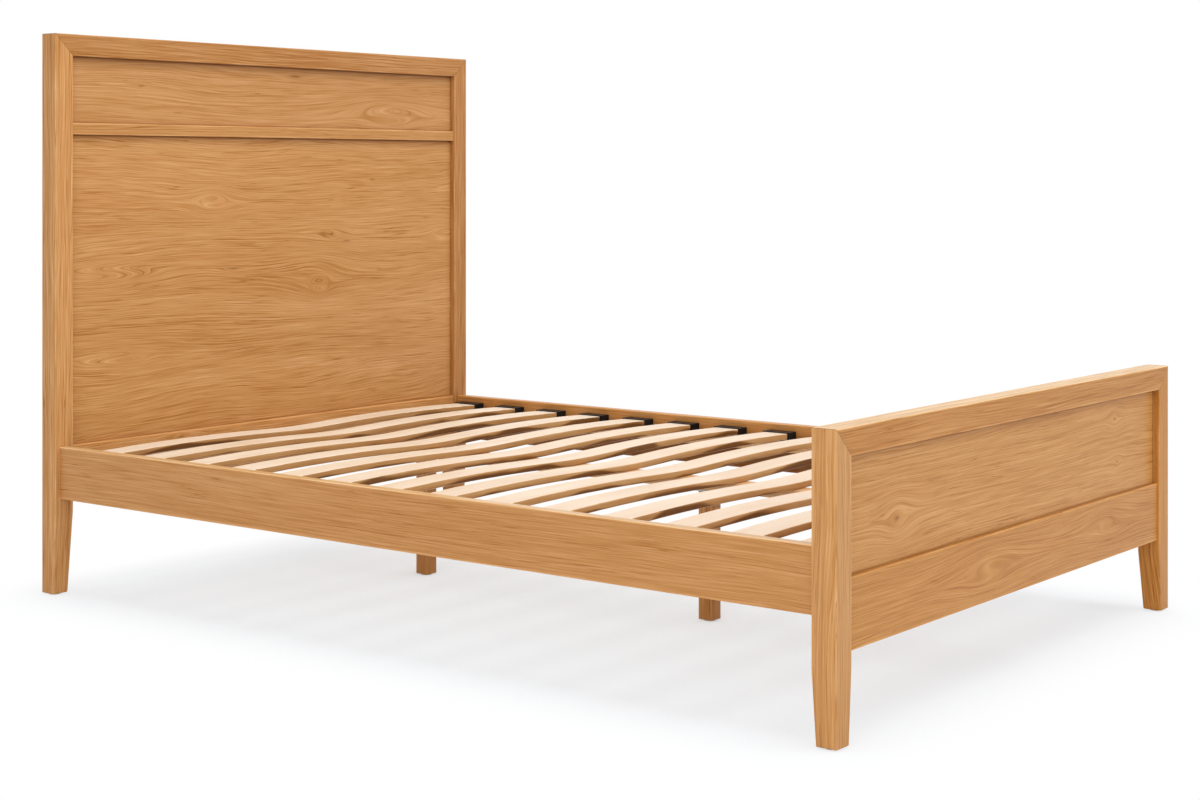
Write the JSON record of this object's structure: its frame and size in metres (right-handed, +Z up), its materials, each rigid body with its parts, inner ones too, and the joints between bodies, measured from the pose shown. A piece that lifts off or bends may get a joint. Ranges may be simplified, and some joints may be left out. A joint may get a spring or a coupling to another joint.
{
  "type": "panel bed",
  "caption": "Wooden panel bed frame with a tall mitred headboard, a low footboard, hook-on side rails and a deck of bent slats on a centre rail with its own legs.",
  "frame": {"origin": "on the floor, at the middle of the bed's length and width", "axes": "+X across the bed, to the right seen from the foot; +Y from the foot to the headboard; +Z up"},
  "size_m": [1.455, 2.172, 1.32],
  "materials": {
    "oak": "oak veneer and solid oak with a clear satin lacquer",
    "slat_wood": "pale layered wood, sanded smooth and left light",
    "black_plastic": "moulded black plastic with a slight sheen",
    "steel": "zinc-plated pressed steel",
    "nylon": "natural nylon"
  },
  "bodies": {
    "root": {"headboard_post_left": "oak", "headboard_post_right": "oak", "headboard_top_rail": "oak", "headboard_upper_panel": "oak", "headboard_main_panel": "oak", "headboard_strip": "oak", "headboard_lower_rail": "oak", "footboard_post_left": "oak", "footboard_post_right": "oak", "footboard_top_rail": "oak", "footboard_panel": "oak", "footboard_lower_rail": "oak", "side_rail_left": "oak", "side_rail_right": "oak", "centre_leg_head": "oak", "centre_leg_foot": "oak", "ledger_batten_left": "slat_wood", "ledger_batten_right": "slat_wood", "centre_rail": "slat_wood", "headboard_dowels": "slat_wood", "footboard_dowels": "slat_wood", "slat_01": "slat_wood", "slat_02": "slat_wood", "slat_03": "slat_wood", "slat_04": "slat_wood", "slat_05": "slat_wood", "slat_06": "slat_wood", "slat_07": "slat_wood", "slat_08": "slat_wood", "slat_09": "slat_wood", "slat_10": "slat_wood", "slat_11": "slat_wood", "slat_12": "slat_wood", "slat_13": "slat_wood", "slat_14": "slat_wood", "slat_caps_left": "black_plastic", "slat_caps_right": "black_plastic", "rail_hook_plates": "steel", "post_receiver_plates": "steel", "plate_screws": "steel", "batten_screws": "steel", "centre_bracket_head": "steel", "centre_bracket_foot": "steel", "centre_rail_screws": "steel", "leg_hanger_bolts": "steel", "leg_mount_plates": "steel", "leg_glides": "nylon"}
  },
  "joints": []
}
